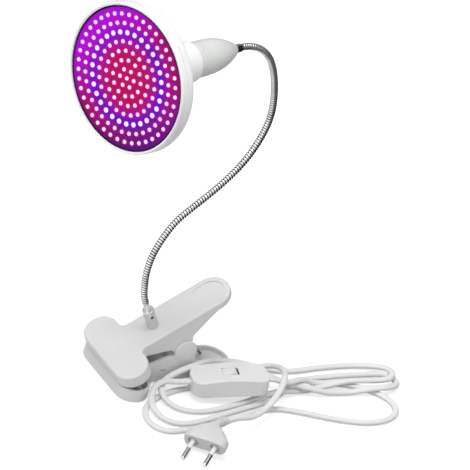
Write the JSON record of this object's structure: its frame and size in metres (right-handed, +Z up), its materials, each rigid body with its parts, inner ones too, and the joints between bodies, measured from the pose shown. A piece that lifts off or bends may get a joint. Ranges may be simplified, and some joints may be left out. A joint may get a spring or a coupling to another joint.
{
  "type": "clip-on LED grow lamp",
  "caption": "Clip-on plant lamp: sprung clamp, bendable neck and screw lampholder carrying a round flat LED bulb, with a switched mains cord.",
  "frame": {"origin": "on the surface the clip lies on, under the middle of the clip pivot", "axes": "+Z up, square to the lower half of the clip; +X from the jaws to the handles; +Y along the pivot, away from the viewer"},
  "size_m": [0.3465, 0.1649, 0.3751],
  "materials": {
    "clip_white": "moulded white plastic, soft gloss",
    "bright_metal": "turned and plated metal",
    "hose_chrome": "wound steel hose, plated, fine ribs",
    "steel": "plain steel",
    "cord_white": "smooth white flexible PVC",
    "holder_white": "moulded white plastic",
    "core_ceramic": "unglazed ceramic",
    "brass": "plain brass",
    "bulb_white": "moulded white plastic, soft gloss",
    "board_glow": "circuit board lit magenta by its LEDs",
    "red_glow": "lit red and pink LEDs, almost white",
    "blue_glow": "lit blue LEDs, almost white",
    "cap_metal": "rolled thread",
    "insulator_black": "black glass",
    "driver_green": "circuit board",
    "driver_grey": "component cases",
    "switch_white": "moulded white plastic",
    "plug_white": "moulded white PVC",
    "sleeve_white": "white insulating sleeve",
    "plug_metal": "plated brass"
  },
  "bodies": {
    "base": {"lower_half": "clip_white", "pivot_pin": "steel", "torsion_spring": "steel", "clip_lead": "cord_white", "cord_clip_to_switch": "cord_white", "cord_switch_to_plug": "cord_white", "switch_base": "switch_white", "switch_cover": "switch_white", "rocker_pin": "steel", "switch_contacts": "brass", "case_screws": "steel", "plug_body": "plug_white", "plug_pins": "plug_metal", "pin_sleeves": "sleeve_white"},
    "upper_jaw": {"upper_half": "clip_white", "post": "bright_metal", "set_screw": "steel", "post_washer": "steel", "post_nut": "steel"},
    "neck_foot": {"lower_collar": "bright_metal"},
    "neck": {"gooseneck_hose": "hose_chrome", "neck_lead": "cord_white"},
    "head": {"upper_collar": "bright_metal", "holder_shell": "holder_white", "holder_nut": "steel", "socket_core": "core_ceramic", "screw_sleeve": "brass", "centre_contact": "brass", "terminal_screws": "steel"},
    "bulb": {"bulb_housing": "bulb_white", "led_board": "board_glow", "red_leds": "red_glow", "blue_leds": "blue_glow", "screw_cap": "cap_metal", "base_insulator": "insulator_black", "contact_tip": "brass", "driver_board": "driver_green", "driver_parts": "driver_grey"},
    "switch_key": {"rocker": "switch_white"}
  },
  "joints": [
    {"name": "clip_open", "type": "hinge", "parent": "base", "child": "upper_jaw", "pos_m": [0, 0, 0.02772], "axis": [0, 1, 0], "range_deg": [0, 40], "stiffness_Nm_per_rad": 1.2, "springref_deg": -28.65, "deforming": ["torsion_spring", "clip_lead"]},
    {"name": "neck_turn", "type": "hinge", "parent": "upper_jaw", "child": "neck_foot", "pos_m": [-0.03534, 0, 0.06112], "axis": [-0.5075, 0, 0.8616], "range_deg": [-90, 90]},
    {"name": "neck_lower_bend", "type": "hinge", "parent": "neck_foot", "child": "neck", "pos_m": [-0.0394, 0, 0.06801], "axis": [0, 1, 0], "range_deg": [-45, 45], "deforming": ["gooseneck_hose", "neck_lead"]},
    {"name": "neck_upper_bend", "type": "hinge", "parent": "neck", "child": "head", "pos_m": [-0.02355, 0.00166, 0.30801], "axis": [0, 1, 0], "range_deg": [-60, 60]},
    {"name": "bulb_out", "type": "slide", "parent": "head", "child": "bulb", "axis": [-0.9699, -0.2364, 0.0576], "range_m": [0, 0.03]},
    {"name": "switch_rocker", "type": "hinge", "parent": "base", "child": "switch_key", "pos_m": [0.02826, -0.04205, 0.01965], "axis": [0.2924, 0.9563, 0], "range_deg": [0, 30]}
  ]
}
